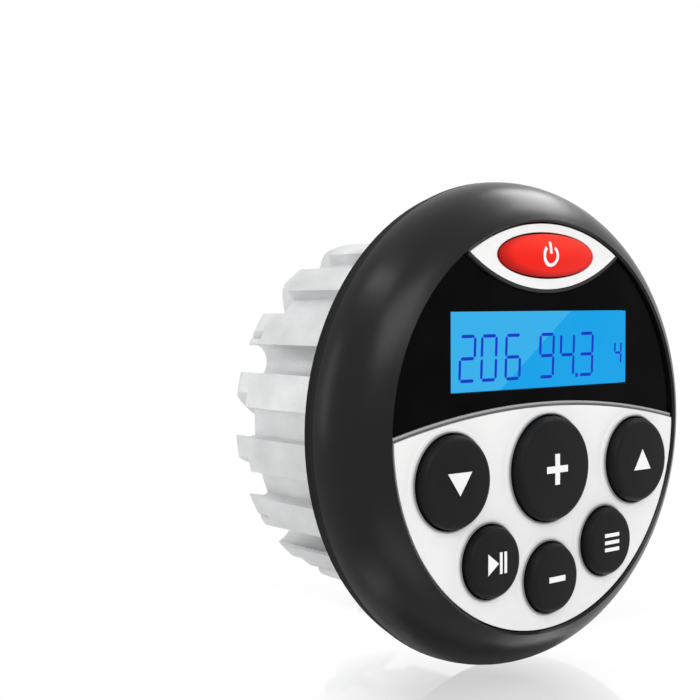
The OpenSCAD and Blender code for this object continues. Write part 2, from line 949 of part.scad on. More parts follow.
module spring_washers() {
    color("#b8bbbe") stand() at_studs() difference() {
        ring(washer_r - 0.3, stud_r + 0.1, spring_z, spring_z + spring_t);
        translate([0, -0.5, spring_z - eps]) cube([washer_r + 1, 1, spring_t + 2 * eps]);
    }
}

module hex_nut(z0, z1) {
    difference() {
        translate([0, 0, z0]) cylinder(r = hex_r, h = z1 - z0, $fn = 6);
        disc(thread_r + 0.05, z0 - eps, z1 + eps);
    }
}

module strap_nuts() {
    color("#d6d8da") stand() at_studs() hex_nut(spring_z - nut_t, spring_z);
}

module bracket_nuts() {
    color("#d6d8da") stand() at_studs() {
        hex_nut(bracket_z - nut_flange_t - nut_t, bracket_z - nut_flange_t);
        ring(nut_flange_r, thread_r + 0.05, bracket_z - nut_flange_t, bracket_z);
    }
}

// A wire swept along its route
module wire(route, shade) {
    path = smooth_route(route);
    last = len(path) - 1;
    ways = [for (i = [0:last]) i == 0 ? [0, 0, -1] : unit(path[min(i + 1, last)] - path[i - 1])];
    rings = [for (i = [0:last], k = [0:wire_sides - 1])
        let (u = unit(cross(ways[i], wire_side_way)), v = cross(ways[i], u), a = 360 * k / wire_sides)
        path[i] + wire_d / 2 * (cos(a) * u + sin(a) * v)];
    sides = [for (i = [0:last - 1], k = [0:wire_sides - 1], half = [0, 1])
        let (a = i * wire_sides + k, b = i * wire_sides + (k + 1) % wire_sides)
        half == 0 ? [a, b, b + wire_sides] : [a, b + wire_sides, a + wire_sides]];
    ends = [
        [for (k = [wire_sides - 1:-1:0]) k],
        [for (k = [0:wire_sides - 1]) last * wire_sides + k]
    ];
    color(shade) polyhedron(rings, concat(sides, ends));
}

module wire_black() { wire(black_route, "#1a1a1c"); }
module wire_green() { wire(green_route, "#0f8f63"); }
module wire_red() { wire(red_route, "#d22a2a"); }
module wire_grey() { wire(grey_route, "#9a9ca0"); }
module wire_white() { wire(white_route, "#eeeeee"); }
module wire_violet() { wire(violet_route, "#4b3a8c"); }
module wire_brown() { wire(brown_route, "#8a5a3c"); }
module wire_teal() { wire(teal_route, "#1b8a8a"); }

module volume_up_key() { round_key(vol_up_at, vol_up_r); }
module volume_down_key() { round_key(vol_down_at, vol_down_r); }
module seek_down_key() { round_key(seek_down_at, seek_r); }
module seek_up_key() { round_key(seek_up_at, seek_r); }
module band_key() { round_key(band_at, band_r); }
module mode_key() { round_key(mode_at, band_r); }

module power_plunger() { plunger(power_at); }
module volume_up_plunger() { plunger(vol_up_at); }
module volume_down_plunger() { plunger(vol_down_at); }
module seek_down_plunger() { plunger(seek_down_at); }
module seek_up_plunger() { plunger(seek_up_at); }
module band_plunger() { plunger(band_at); }
module mode_plunger() { plunger(mode_at); }

bezel_ring();
panel_gasket();
front_housing();
keypad_fascia();
display_window();
window_trim();
power_surround();
power_trim();
lcd_glass();
lcd_backlight();
lcd_frame();
front_board();
front_board_screws();
tact_switches();
power_key();
volume_up_key();
volume_down_key();
seek_down_key();
seek_up_key();
band_key();
mode_key();
power_plunger();
volume_up_plunger();
volume_down_plunger();
seek_down_plunger();
seek_up_plunger();
band_plunger();
mode_plunger();
neck_collar();
case_seal();
heatsink_body();
case_screws();
main_board();
board_screws();
board_header();
board_socket();
harness_plug();
amp_chip();
thermal_pad();
amp_clip();
clip_screws();
tuner_can();
capacitors();
cable_grommet();
cable_sleeve();
cable_strap();
mounting_studs();
flat_washers();
spring_washers();
strap_nuts();
bracket_nuts();
wire_black();
wire_green();
wire_red();
wire_grey();
wire_white();
wire_violet();
wire_brown();
wire_teal();
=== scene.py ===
"""Looks of a round marine stereo: finishes on the solids, and the pieces that only show."""

import logging
import math
from dataclasses import dataclass, field
from enum import Enum
from functools import cache

import bmesh
import bpy
from bmesh.types import BMesh, BMVert
from bpy.types import ID, Curve, Material, Node, NodeTree, Object
from bpy.types import NodeSocket as Socket
from mathutils import Matrix, Vector, noise
from mathutils.bvhtree import BVHTree


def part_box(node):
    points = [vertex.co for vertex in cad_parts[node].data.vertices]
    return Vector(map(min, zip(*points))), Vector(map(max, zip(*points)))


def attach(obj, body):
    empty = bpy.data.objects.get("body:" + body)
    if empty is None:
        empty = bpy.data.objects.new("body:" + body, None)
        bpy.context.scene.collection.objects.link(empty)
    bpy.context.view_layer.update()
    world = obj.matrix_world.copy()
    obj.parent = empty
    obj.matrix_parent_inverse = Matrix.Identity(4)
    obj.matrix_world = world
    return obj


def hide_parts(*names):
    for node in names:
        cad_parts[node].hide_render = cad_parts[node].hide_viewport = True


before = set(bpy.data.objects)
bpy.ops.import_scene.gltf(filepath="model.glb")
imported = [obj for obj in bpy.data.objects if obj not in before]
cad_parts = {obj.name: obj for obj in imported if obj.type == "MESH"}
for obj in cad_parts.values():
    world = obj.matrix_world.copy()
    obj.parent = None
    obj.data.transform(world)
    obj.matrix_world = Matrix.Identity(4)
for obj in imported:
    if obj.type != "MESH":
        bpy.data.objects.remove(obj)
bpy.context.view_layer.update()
LOG = logging.getLogger("marine_stereo")
MM = 0.001
BODY = "receiver"
WHITE = (1.0, 1.0, 1.0, 1.0)

Point = tuple[float, float]
Triple = tuple[float, float, float]
Colour = tuple[float, float, float]
Ramp = tuple[Point, Point]
Outline = list[Point]


class NodeBench:
    """Short ways to place and join the nodes of one shader tree."""

    # The numbers of a Mix node's colour sockets, which share their names with its other sockets.
    MIX_LOW, MIX_HIGH, MIXED = 6, 7, 2

    def __init__(self, tree: NodeTree) -> None:
        """Empties the tree that nodes go into."""
        self.tree = tree
        tree.nodes.clear()

    def place(self, kind: str, inputs: dict | None = None, **fields: object) -> Node:
        """Adds a node.

        Args:
            kind: the node's type name, without its ShaderNode.
            inputs: a value or a socket for each input, by name or number.
            fields: the node's own settings.

        Returns:
            The new node.
        """
        node = self.tree.nodes.new(kind if kind.startswith("NodeGroup") else f"ShaderNode{kind}")
        for key, value in fields.items():
            setattr(node, key, value)
        for key, value in (inputs or {}).items():
            if isinstance(value, Socket):
                self.tree.links.new(value, node.inputs[key])
            else:
                node.inputs[key].default_value = value
        return node

    def coords(self) -> Socket:
        """The place on the object itself, in metres."""
        return self.place("TexCoord").outputs["Object"]

    def axis(self, vector: Socket, name: str) -> Socket:
        """One coordinate of a vector."""
        return self.place("SeparateXYZ", {"Vector": vector}).outputs[name]

    def measure(self, operation: str, vector: Socket, other: Triple = (0.0, 0.0, 0.0)) -> Socket:
        """A vector's length, or its distance from another or product with it."""
        return self.place("VectorMath", {0: vector, 1: other}, operation=operation).outputs["Value"]

    def moved(self, vector: Socket, **inputs: Triple) -> Socket:
        """A vector that is shifted, turned or stretched."""
        return self.place("Mapping", {"Vector": vector, **inputs}).outputs["Vector"]

    def cloud(self, vector: Socket, scale: Socket | float, **inputs: float) -> Socket:
        """A noise, with its scale and its other values."""
        return self.place("TexNoise", {"Vector": vector, "Scale": scale, **inputs}).outputs["Fac"]

    def sums(self, operation: str, first: Socket | float, second: Socket | float) -> Socket:
        """The result of a sum of two numbers."""
        return self.place("Math", {0: first, 1: second}, operation=operation).outputs[0]

    def span(self, value: Socket, lows: Point, highs: Point) -> Socket:
        """A value on a ramp: where it starts and what that becomes, and where it ends."""
        ramp = {"From Min": lows[0], "To Min": lows[1], "From Max": highs[0], "To Max": highs[1]}
        return self.place("MapRange", {"Value": value, **ramp}, clamp=True).outputs["Result"]

    def tint(self, mask: Socket, low: Socket | Colour, high: Socket | Colour) -> Socket:
        """Mixes two colours by a mask.

        Args:
            mask: the socket that chooses, from 0 to 1.
            low: the colour, or its socket, at 0.
            high: the colour, or its socket, at 1.

        Returns:
            The mixed colour's socket.
        """
        low, high = (c if isinstance(c, Socket) else (*c, 1.0) for c in (low, high))
        inputs = {"Factor": mask, self.MIX_LOW: low, self.MIX_HIGH: high}
        return self.place("Mix", inputs, data_type="RGBA").outputs[self.MIXED]


class Effects:
    """Shader node groups that several finishes share, each built once."""

    SWELL = 0.4
    SOFT = ((0.3, 0.0), (0.7, 1.0))
    RUBBED = ((0.25, 0.0), (0.37, 1.0))
    SCRATCHED = {"Scale": (1.0, 6.0, 14.0), "Rotation": (0.4, 0.7, 0.2)}
    STRETCHED = (0.03, 1.0, 1.0)

    @staticmethod
    def blank(name: str, inputs: dict[str, float], outputs: list[str]) -> tuple[NodeBench, dict[str, Socket]]:
        """Starts a group with a Vector input, number inputs and number outputs.

        Args:
            name: the group's name.
            inputs: its number inputs and their values.
            outputs: the names of its outputs.

        Returns:
            A bench on the new group, and the sockets of its inputs.
        """
        tree = bpy.data.node_groups.new(name, "ShaderNodeTree")
        tree.interface.new_socket(name="Vector", in_out="INPUT", socket_type="NodeSocketVector")
        for key, value in inputs.items():
            socket = tree.interface.new_socket(name=key, in_out="INPUT", socket_type="NodeSocketFloat")
            socket.default_value = value
        for key in outputs:
            tree.interface.new_socket(name=key, in_out="OUTPUT", socket_type="NodeSocketFloat")
        bench = NodeBench(tree)
        return bench, bench.place("NodeGroupInput").outputs

    @classmethod
    @cache
    def grain(cls) -> NodeTree:
        """The fine grain of a moulded or cast skin, with slow changes of tone.

        Returns:
            The group, which gives a height and a tone.
        """
        bench, given = cls.blank("surface_grain", {"Fine": 3000.0, "Broad": 60.0}, ["Height", "Tone"])
        fine = bench.cloud(given["Vector"], given["Fine"], Detail=3.0, Roughness=0.6)
        broad = bench.cloud(given["Vector"], given["Broad"], Detail=4.0, Roughness=0.55)
        height = bench.sums("ADD", fine, bench.sums("MULTIPLY", broad, cls.SWELL))
        bench.place("NodeGroupOutput", {"Height": height, "Tone": bench.span(broad, *cls.SOFT)})
        return bench.tree

    @classmethod
    @cache
    def scuffs(cls) -> NodeTree:
        """Faint rubbed patches and short scratches.

        Returns:
            The group, which gives a mask.
        """
        bench, given = cls.blank("rubbed_scuffs", {"Scale": 90.0}, ["Mask"])
        patch = bench.cloud(given["Vector"], given["Scale"], Detail=6.0, Roughness=0.7)
        scratched = bench.moved(given["Vector"], **cls.SCRATCHED)
        streak = bench.cloud(scratched, given["Scale"], Detail=2.0, Distortion=0.4)
        rubbed = bench.span(bench.sums("MULTIPLY", patch, streak), *cls.RUBBED)
        bench.place("NodeGroupOutput", {"Mask": rubbed})
        return bench.tree

    @classmethod
    @cache
    def drawn(cls) -> NodeTree:
        """The fine parallel lines of drawn or brushed metal, along the vector's first axis.

        Returns:
            The group, which gives a height.
        """
        bench, given = cls.blank("drawn_lines", {"Scale": 400.0}, ["Height"])
        stretched = bench.moved(given["Vector"], Scale=cls.STRETCHED)
        lines = bench.cloud(stretched, given["Scale"], Detail=4.0, Roughness=0.7)
        bench.place("NodeGroupOutput", {"Height": lines})
        return bench.tree


class Skin(NodeBench):
    """The nodes of one finish: its coordinates, and the tone, height and scuffs of its grain."""

    def __init__(self, tree: NodeTree, scales: dict[str, float]) -> None:
        """Places the nodes that every finish has.

        Args:
            tree: the material's empty tree.
            scales: the fine and the broad scale of the grain.
        """
        super().__init__(tree)
        self.at = self.coords()
        grain = self.shared(Effects.grain(), scales)
        self.tone, self.height = grain["Tone"], grain["Height"]
        self.scuffs = self.shared(Effects.scuffs(), {})["Mask"]

    def shared(self, group: NodeTree, inputs: dict[str, float]) -> dict[str, Socket]:
        """The outputs of a shared group on the surface."""
        return self.place("Group", {"Vector": self.at, **inputs}, node_tree=group).outputs


@dataclass(frozen=True)
class Zone:
    """A part of a surface with its own colour or gloss, on a ramp along a way or out from a centre."""

    ramp: Ramp
    colour: Colour | None = None
    dulling: float = 0.0
    centre: Triple = (0.0, 0.0, 0.0)
    stretch: Triple = (1.0, 1.0, 1.0)
    way: Triple | None = None

    def mask(self, skin: Skin) -> Socket:
        """Where the zone is.

        Args:
            skin: the material's nodes.

        Returns:
            The mask's socket.
        """
        origin = tuple(-c * s for c, s in zip(self.centre, self.stretch))
        place = skin.moved(skin.at, Location=origin, Scale=self.stretch)
        value = skin.measure("DOT_PRODUCT", place, self.way) if self.way else skin.measure("LENGTH", place)
        return skin.span(value, *self.ramp)


@dataclass
class Pattern:
    """What a finish shows: its tone and height, and a colour and a glow where it has them."""

    tone: Socket
    height: Socket
    colour: Socket | None = None
    glow: dict[str, object] = field(default_factory=dict)


@dataclass(frozen=True)
class Finish:
    """A surface: its colour and gloss, its grain, how much they vary, and its zones."""

    name: str
    colour: Colour
    roughness: float
    metallic: float = 0.0
    specular: float = 0.5
    coat: float = 0.0
    coat_roughness: float = 0.08
    tone: float = 0.12
    tone_lift: float = 0.002
    gloss_spread: float = 0.08
    smoothest: float = 0.02
    fine: float = 3000.0
    broad: float = 60.0
    bump: float = 0.15
    depth: float = 0.00005
    scuff: float = 0.08
    worn_gain: float = 1.15
    worn_lift: float = 0.01
    zones: tuple[Zone, ...] = ()

    @cache
    def material(self) -> Material:
        """The finish's material, built on first use.

        Returns:
            The material.
        """
        material = bpy.data.materials.new(f"{self.name}_finish")
        material.use_nodes = True
        skin = Skin(material.node_tree, {"Fine": self.fine, "Broad": self.broad})
        self.paint(skin, self.pattern(skin))
        return material

    def pattern(self, skin: Skin) -> Pattern:
        """The plain grain."""
        return Pattern(skin.tone, skin.height)

    def shades(self) -> tuple[Colour, Colour]:
        """The darkest and the lightest tone of the plain colour.

        Returns:
            Both colours.
        """
        dark = tuple(c * (1.0 - self.tone) for c in self.colour)
        light = tuple(min(1.0, c * (1.0 + self.tone) + self.tone_lift) for c in self.colour)
        return dark, light

    def paint(self, skin: Skin, pattern: Pattern) -> None:
        """Shows a pattern through a shader.

        Args:
            skin: the material's nodes.
            pattern: what they show.
        """
        worn = tuple(min(1.0, c * self.worn_gain + self.worn_lift) for c in self.colour)
        mask = skin.sums("MULTIPLY", skin.scuffs, self.scuff)
        body = pattern.colour or skin.tint(pattern.tone, *self.shades())
        smooth = max(self.smoothest, self.roughness - self.gloss_spread)
        gloss = skin.span(pattern.tone, (0.0, smooth), (1.0, self.roughness + self.gloss_spread))
        gloss = skin.sums("ADD", gloss, mask)
        for zone in self.zones:
            where = zone.mask(skin)
            body = skin.tint(where, body, zone.colour) if zone.colour else body
            gloss = skin.sums("ADD", gloss, skin.sums("MULTIPLY", where, zone.dulling))
        relief = {"Height": pattern.height, "Strength": self.bump, "Distance": self.depth}
        shader = skin.place("BsdfPrincipled", {
            "Base Color": skin.tint(mask, body, worn), "Roughness": gloss, "Metallic": self.metallic,
            "Specular IOR Level": self.specular, "Coat Weight": self.coat,
            "Coat Roughness": self.coat_roughness, "Normal": skin.place("Bump", relief).outputs["Normal"],
            **pattern.glow})
        skin.place("OutputMaterial", {"Surface": shader.outputs["BSDF"]})

    def on(self, *nodes: str) -> None:
        """Dresses CAD nodes in this finish.

        Args:
            nodes: the names of the nodes.
        """
        for node in nodes:
            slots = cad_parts[node].data.materials
            slots.clear()
            slots.append(self.material())
            LOG.info("%s wears %s", node, self.name)


@dataclass(frozen=True)
class DrawnFinish(Finish):
    """Metal with fine parallel lines along one axis."""

    lines: float = 900.0

    def pattern(self, skin: Skin) -> Pattern:
        """The lines, deeper where the grain is pale.

        Args:
            skin: the material's nodes.

        Returns:
            Their tone and height.
        """
        lines = skin.shared(Effects.drawn(), {"Scale": self.lines})["Height"]
        height = skin.sums("ADD", lines, skin.sums("MULTIPLY", lines, skin.tone))
        return Pattern(skin.span(lines, *Effects.SOFT), height)


@dataclass(frozen=True)
class ThreadFinish(Finish):
    """Plated steel with the rings of a thread along the depth axis."""

    pitch: float = 0.0008
    grain_share: float = 0.05

    def pattern(self, skin: Skin) -> Pattern:
        """The thread's waves, with a little grain on them.

        Args:
            skin: the material's nodes.

        Returns:
            Their tone and height.
        """
        turns = skin.sums("MULTIPLY", skin.axis(skin.at, "Y"), 2.0 * math.pi / self.pitch)
        wave = skin.span(skin.sums("SINE", turns, 0.0), (-1.0, 0.0), (1.0, 1.0))
        grain = skin.sums("MULTIPLY", skin.height, self.grain_share)
        return Pattern(wave, skin.sums("ADD", wave, grain))


@dataclass(frozen=True)
class CastFinish(Finish):
    """Bright cast metal: a blasted skin with small pits and flow marks."""

    pits: float = 900.0
    pit_reach: float = 0.28
    pit_depth: float = 0.6

    def pattern(self, skin: Skin) -> Pattern:
        """The pits, dark and deep in the grain.

        Args:
            skin: the material's nodes.

        Returns:
            Their tone and height.
        """
        cells = skin.place("TexVoronoi", {"Vector": skin.at, "Scale": self.pits, "Randomness": 1.0})
        pit = skin.span(cells.outputs["Distance"], (0.0, 0.0), (self.pit_reach, 1.0))
        height = skin.sums("ADD", skin.height, skin.sums("MULTIPLY", pit, self.pit_depth))
        return Pattern(skin.sums("MULTIPLY", skin.tone, pit), height)


@dataclass(frozen=True)
class BoardFinish(Finish):
    """A circuit board: lacquer over rows of tracks, with tinned pads."""

    copper: Colour = (0.45, 0.3, 0.12)
    lie: Triple = (math.radians(90), 0.0, math.radians(45))
    track_height: float = 0.5
    track_tone: float = 0.7
    pad_rim: Ramp = ((0.16, 1.0), (0.2, 0.0))

    TRACKS = {"Scale": 240.0, "Mortar Size": 0.035, "Brick Width": 1.6, "Row Height": 0.22}
    PADS = {"Scale": 380.0, "Randomness": 0.35}

    def pattern(self, skin: Skin) -> Pattern:
        """The tracks and the pads.

        Args:
            skin: the material's nodes.

        Returns:
            Their height and colour, with the grain's tone.
        """
        tracks = skin.place("TexBrick", {"Vector": skin.moved(skin.at, Rotation=self.lie), **self.TRACKS})
        line = skin.sums("MULTIPLY", tracks.outputs["Fac"], self.track_height)
        pads = skin.place("TexVoronoi", {"Vector": skin.at, **self.PADS})
        pad = skin.span(pads.outputs["Distance"], *self.pad_rim)
        lacquer = skin.tint(line, self.colour, tuple(c * self.track_tone for c in self.colour))
        return Pattern(skin.tone, skin.sums("ADD", line, pad), skin.tint(pad, lacquer, self.copper))


@dataclass(frozen=True)
class LitFinish(Finish):
    """A lit display: a blue field in two tones that meet along a slanted line; the lighter tone is a painted
    reflection on the glass.
    """

    # The tone inside the painted reflection, then the display's own tone beside it.
    light: Colour = (0.038, 0.434, 0.823)
    deep: Colour = (0.003, 0.352, 0.807)
    glow: float = 0.95
    glare_slant: Triple = (1.0, 0.0, -1.35)
    glare_line: Ramp = ((-0.0258, 0.0), (-0.0254, 1.0))
    haze: float = 0.06

    def pattern(self, skin: Skin) -> Pattern:
        """The glow in two tones, the lighter one a painted reflection.

        Args:
            skin: the material's nodes.

        Returns:
            The grain, with the glow.
        """
        # Painted reflection: the field is lighter on one side of a slanted line, as a glare on the glass.
        side = skin.span(skin.measure("DOT_PRODUCT", skin.at, self.glare_slant), *self.glare_line)
        haze = skin.span(skin.tone, (0.0, 0.0), (1.0, self.haze))
        lit = skin.tint(haze, skin.tint(side, self.light, self.deep), self.light)
        glow = {"Emission Color": lit, "Emission Strength": self.glow}
        return Pattern(skin.tone, skin.height, glow=glow)


@dataclass(frozen=True)
class SleeveFinish(Finish):
    """Shrunk tube, creased in its first zone."""

    fold_scale: float = 260.0
    fold_height: float = 8.0

    def pattern(self, skin: Skin) -> Pattern:
        """The creases.

        Args:
            skin: the material's nodes.

        Returns:
            The grain, with the creases' height.
        """
        crease = skin.cloud(skin.at, self.fold_scale, Detail=3.0, Distortion=1.2)
        creased = skin.sums("MULTIPLY", crease, self.zones[0].mask(skin))
        folds = skin.sums("MULTIPLY", creased, self.fold_height)
        return Pattern(skin.tone, skin.sums("ADD", folds, skin.height))


class Finishes:
    """Every finish of the receiver, with the places and ways that their zones share."""

    BACK, FORWARD, UP = (0.0, 1.0, 0.0), (0.0, -1.0, 0.0), (0.0, 0.0, 1.0)
    FACE = (0.0, -0.0170, 0.0)
    TRIM_CENTRE, UPRIGHT = (0.0, 0.0, -0.1944), (1.0, 0.0, 1.0)
    OVAL_CENTRE, OVAL = (0.0016, 0.0, 0.0384), (1.0 / 0.01525, 0.0, 1.0 / 0.00475)

    rear_edge = Zone(((-0.0036, 0.0), (-0.0034, 1.0)), (0.0014, 0.0014, 0.0015), dulling=0.4, way=BACK)
    # Painted shade: the trim's lower edge is darkened to stand in for the shadow in the gap below its step.
    painted_shade_lower_edge = Zone(((0.19947, 1.0), (0.19963, 0.0)), (0.1, 0.1, 0.105), centre=TRIM_CENTRE,
                      stretch=UPRIGHT)
    # Painted shade: round each round key the white flare greys towards the key, and its lip is ringed in
    # darker grey, standing in for the soft shadow and the shaded rim at the key's edge.
    painted_shade_flare = Zone(((0.00002, 0.0), (0.0004, 1.0)), (0.5, 0.5, 0.505), centre=FACE, way=FORWARD)
    painted_shade_lip = Zone(((0.0004, 0.0), (0.0005, 1.0)), (0.2, 0.2, 0.205), centre=FACE, way=FORWARD)
    # Painted light: the red key turns lighter and warmer towards its top, as light from above shows it.
    painted_light_top = Zone(((-0.3, 0.0), (1.0, 0.55)), (0.95, 0.07, 0.04), centre=OVAL_CENTRE, stretch=OVAL, way=UP)
    # Painted shade: the red key darkens towards its rim, where its dome turns away from the light.
    painted_shade_edge = Zone(((0.84, 0.0), (1.1, 0.85)), (0.3, 0.004, 0.004), centre=OVAL_CENTRE, stretch=OVAL)
    above_strap = Zone(((-0.007, 0.0), (0.001, 1.0)), dulling=-0.36, way=UP)

    bezel = Finish("satin_black_bezel", (0.004, 0.004, 0.0043), 0.3, specular=0.2, tone_lift=0.001,
                   gloss_spread=0.012, fine=2600.0, bump=0.05, scuff=0.0, zones=(rear_edge,))
    gasket = Finish("gasket_rubber", (0.004, 0.004, 0.0045), 0.62, specular=0.1, fine=4200.0, bump=0.25)
    dark = Finish("dark_moulding", (0.04, 0.04, 0.042), 0.55, specular=0.35, fine=2400.0, bump=0.2)
    white = Finish("white_face", (0.83, 0.83, 0.825), 0.38, tone=0.015, scuff=0.03, fine=2800.0, bump=0.06)
    # Its grey flare and grey lip are painted shade.
    collar = Finish("white_collar", (0.83, 0.83, 0.825), 0.38, tone=0.0, tone_lift=0.0, scuff=0.03,
                    fine=2800.0, bump=0.06, zones=(painted_shade_flare, painted_shade_lip))
    window = Finish("window_black", (0.0008, 0.0008, 0.001), 0.1, specular=0.02, tone=0.05,
                    gloss_spread=0.02, bump=0.02, fine=900.0, scuff=0.01)
    # Its dark lower edge is painted shade.
    trim = Finish("grey_trim", (0.36, 0.36, 0.37), 0.36, specular=0.3, tone=0.0, tone_lift=0.0,
                  fine=2200.0, bump=0.08, zones=(painted_shade_lower_edge,))
    charcoal = Finish("charcoal_trim", (0.018, 0.018, 0.019), 0.36, specular=0.2, fine=2200.0, bump=0.08)
    lit = LitFinish("lit_display", (0.001, 0.02, 0.04), 0.2, specular=0.05, fine=2000.0, bump=0.02, scuff=0.0)
    # The numerals too are lighter inside the display's painted reflection.
    digits = LitFinish("display_segments", (0.001, 0.005, 0.05), 0.3, specular=0.05, fine=2000.0, bump=0.03,
                       scuff=0.0, light=(0.004, 0.036, 0.52), deep=(0.003, 0.03, 0.5))
    diffuser = Finish("light_diffuser", (0.84, 0.86, 0.83), 0.45, tone=0.03, fine=1500.0, bump=0.2)
    key = Finish("key_rubber", (0.007, 0.007, 0.0074), 0.5, specular=0.1, fine=3600.0, bump=0.14, scuff=0.05)
    # Its lighter top is painted light, and its dark rim is painted shade.
    power = Finish("power_red", (0.82, 0.012, 0.005), 0.2, specular=0.12, tone=0.0, tone_lift=0.0,
                   gloss_spread=0.03, fine=1800.0, bump=0.03, scuff=0.02, zones=(painted_light_top, painted_shade_edge))
    ink = Finish("white_print", (0.86, 0.86, 0.85), 0.5, tone=0.03, fine=5200.0, bump=0.1, scuff=0.04)
    plunger = Finish("plunger_plastic", (0.42, 0.06, 0.025), 0.5, fine=2600.0, bump=0.12)
    front_board = BoardFinish("front_board_lacquer", (0.012, 0.14, 0.045), 0.3, coat=0.2, bump=0.3)
    main_board = BoardFinish("main_board_lacquer", (0.01, 0.1, 0.18), 0.3, coat=0.2, bump=0.3)
    connector = Finish("connector_nylon", (0.68, 0.64, 0.53), 0.5, tone=0.04, fine=2400.0, bump=0.12)
    chip = Finish("chip_epoxy", (0.014, 0.014, 0.016), 0.58, fine=5200.0, bump=0.35)
    pad = Finish("pad_silicone", (0.26, 0.35, 0.45), 0.7, fine=3400.0, bump=0.3)
    capacitor = Finish("capacitor_sleeve", (0.02, 0.04, 0.14), 0.22, coat=0.3, fine=1200.0, bump=0.05)
    cast = CastFinish("cast_aluminium", (0.66, 0.665, 0.67), 0.42, metallic=0.6, tone=0.1, gloss_spread=0.07,
                      fine=2400.0, broad=90.0, bump=0.4, depth=0.0001, scuff=0.12)
    zinc = DrawnFinish("zinc_plate", (0.56, 0.57, 0.59), 0.22, metallic=1.0, tone=0.06, gloss_spread=0.04,
                       bump=0.03, scuff=0.05)
    thread = ThreadFinish("zinc_thread", (0.5, 0.51, 0.53), 0.26, metallic=1.0, bump=0.9, depth=0.0004,
                          tone=0.25)
    strap = DrawnFinish("strap_steel", (0.5, 0.51, 0.53), 0.24, metallic=1.0, tone=0.08, gloss_spread=0.05,
                        bump=0.04, scuff=0.05)
    sleeve = SleeveFinish("shrunk_sleeve", (0.009, 0.009, 0.0095), 0.46, specular=0.2, tone_lift=0.0,
                          gloss_spread=0.06, fine=2400.0, bump=0.12, scuff=0.0, zones=(above_strap,))
    tinned = DrawnFinish("tinned_copper", (0.62, 0.55, 0.47), 0.3, metallic=1.0, bump=0.3, lines=2600.0)

    @staticmethod
    def wire(name: str, colour: Colour) -> Finish:
        """The smooth insulation of one wire."""
        return Finish(f"insulation_{name}", colour, 0.32, specular=0.45, tone=0.06, fine=1600.0, broad=180.0,
                      bump=0.06, scuff=0.05)


def linked(name: str, shape: BMesh | ID) -> Object:
    """Puts a new object into the scene.

    Args:
        name: the object's name.
        shape: its curve, camera or light, or a bmesh, which is freed.

    Returns:
        The object.
    """
    data = shape
    if isinstance(shape, BMesh):
        data = bpy.data.meshes.new(name)
        shape.to_mesh(data)
        shape.free()
    piece = bpy.data.objects.new(name, data)
    bpy.context.scene.collection.objects.link(piece)
    return piece


def shown(name: str, shape: BMesh | Curve, finish: Finish, body: str) -> Object:
    """Makes an object of a shape, dressed and riding on a body.

    Args:
        name: the piece's name.
        shape: its bmesh or curve, in place.
        finish: its finish.
        body: the body that carries it.

    Returns:
        The new object.
    """
    piece = linked(name, shape)
    piece.data.materials.append(finish.material())
    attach(piece, body)
    LOG.info("%s rides on %s", name, body)
    return piece


def plate(bm: BMesh, outline: Outline, thick: float) -> None:
    """Adds a flat plate, face forward, with its back at zero depth.

    Args:
        bm: the mesh that it goes into.
        outline: its corners, sideways and up, in metres.
        thick: its thickness towards the front.
    """
    face = bm.faces.new([bm.verts.new((x, 0.0, z)) for x, z in outline])
    grown = bmesh.ops.extrude_face_region(bm, geom=[face])
    front = [v for v in grown["geom"] if isinstance(v, BMVert)]
    bmesh.ops.translate(bm, vec=(0.0, -thick, 0.0), verts=front)


def rounded(bm: BMesh) -> None:
    """Turns every face outwards and shades it smooth.

    Args:
        bm: the mesh.
    """
    bmesh.ops.recalc_face_normals(bm, faces=bm.faces)
    for face in bm.faces:
        face.smooth = True


def bar(length: float, width: float, at: Point = (0.0, 0.0)) -> Outline:
    """Corners of an upright rectangle about a place."""
    x, z = length / 2, width / 2
    return [(at[0] - x, at[1] - z), (at[0] + x, at[1] - z), (at[0] + x, at[1] + z), (at[0] - x, at[1] + z)]


def open_ring(outer: float, inner: float, opening: float, steps: int) -> Outline:
    """Corners of a ring that is open at its top.

    Args:
        outer: its outer radius.
        inner: its inner radius.
        opening: half the angle that is left open, in degrees.
        steps: the number of its sides.

    Returns:
        The outline, round the outside and back along the inside.
    """
    sweep = 360.0 - 2.0 * opening
    angles = [math.radians(opening + sweep * i / steps) for i in range(steps + 1)]
    outside, inside = ([(r * math.sin(a), r * math.cos(a)) for a in angles] for r in (outer, inner))
    return outside + inside[::-1]


class Symbol(Enum):
    """Signs that are printed on the keys: outlines of their plates, for a sign one unit in size."""

    POWER = (open_ring(0.5, 0.35, 38.0, 28), bar(0.15, 0.52, (0.0, 0.34)))
    PLUS = (bar(1.0, 0.22), bar(0.22, 0.39, (0.0, 0.305)), bar(0.22, 0.39, (0.0, -0.305)))
    MINUS = (bar(1.0, 0.24),)
    UP = ([(-0.58, -0.42), (0.58, -0.42), (0.0, 0.5)],)
    DOWN = ([(-0.66, 0.42), (0.0, -0.5), (0.66, 0.42)],)
    PLAY_PAUSE = ([(-0.62, -0.5), (0.05, 0.0), (-0.62, 0.5)],
                  bar(0.17, 1.0, (0.21, 0.0)), bar(0.17, 1.0, (0.51, 0.0)))
    LIST = (bar(1.0, 0.17, (0.0, -0.33)), bar(1.0, 0.17), bar(1.0, 0.17, (0.0, 0.33)))


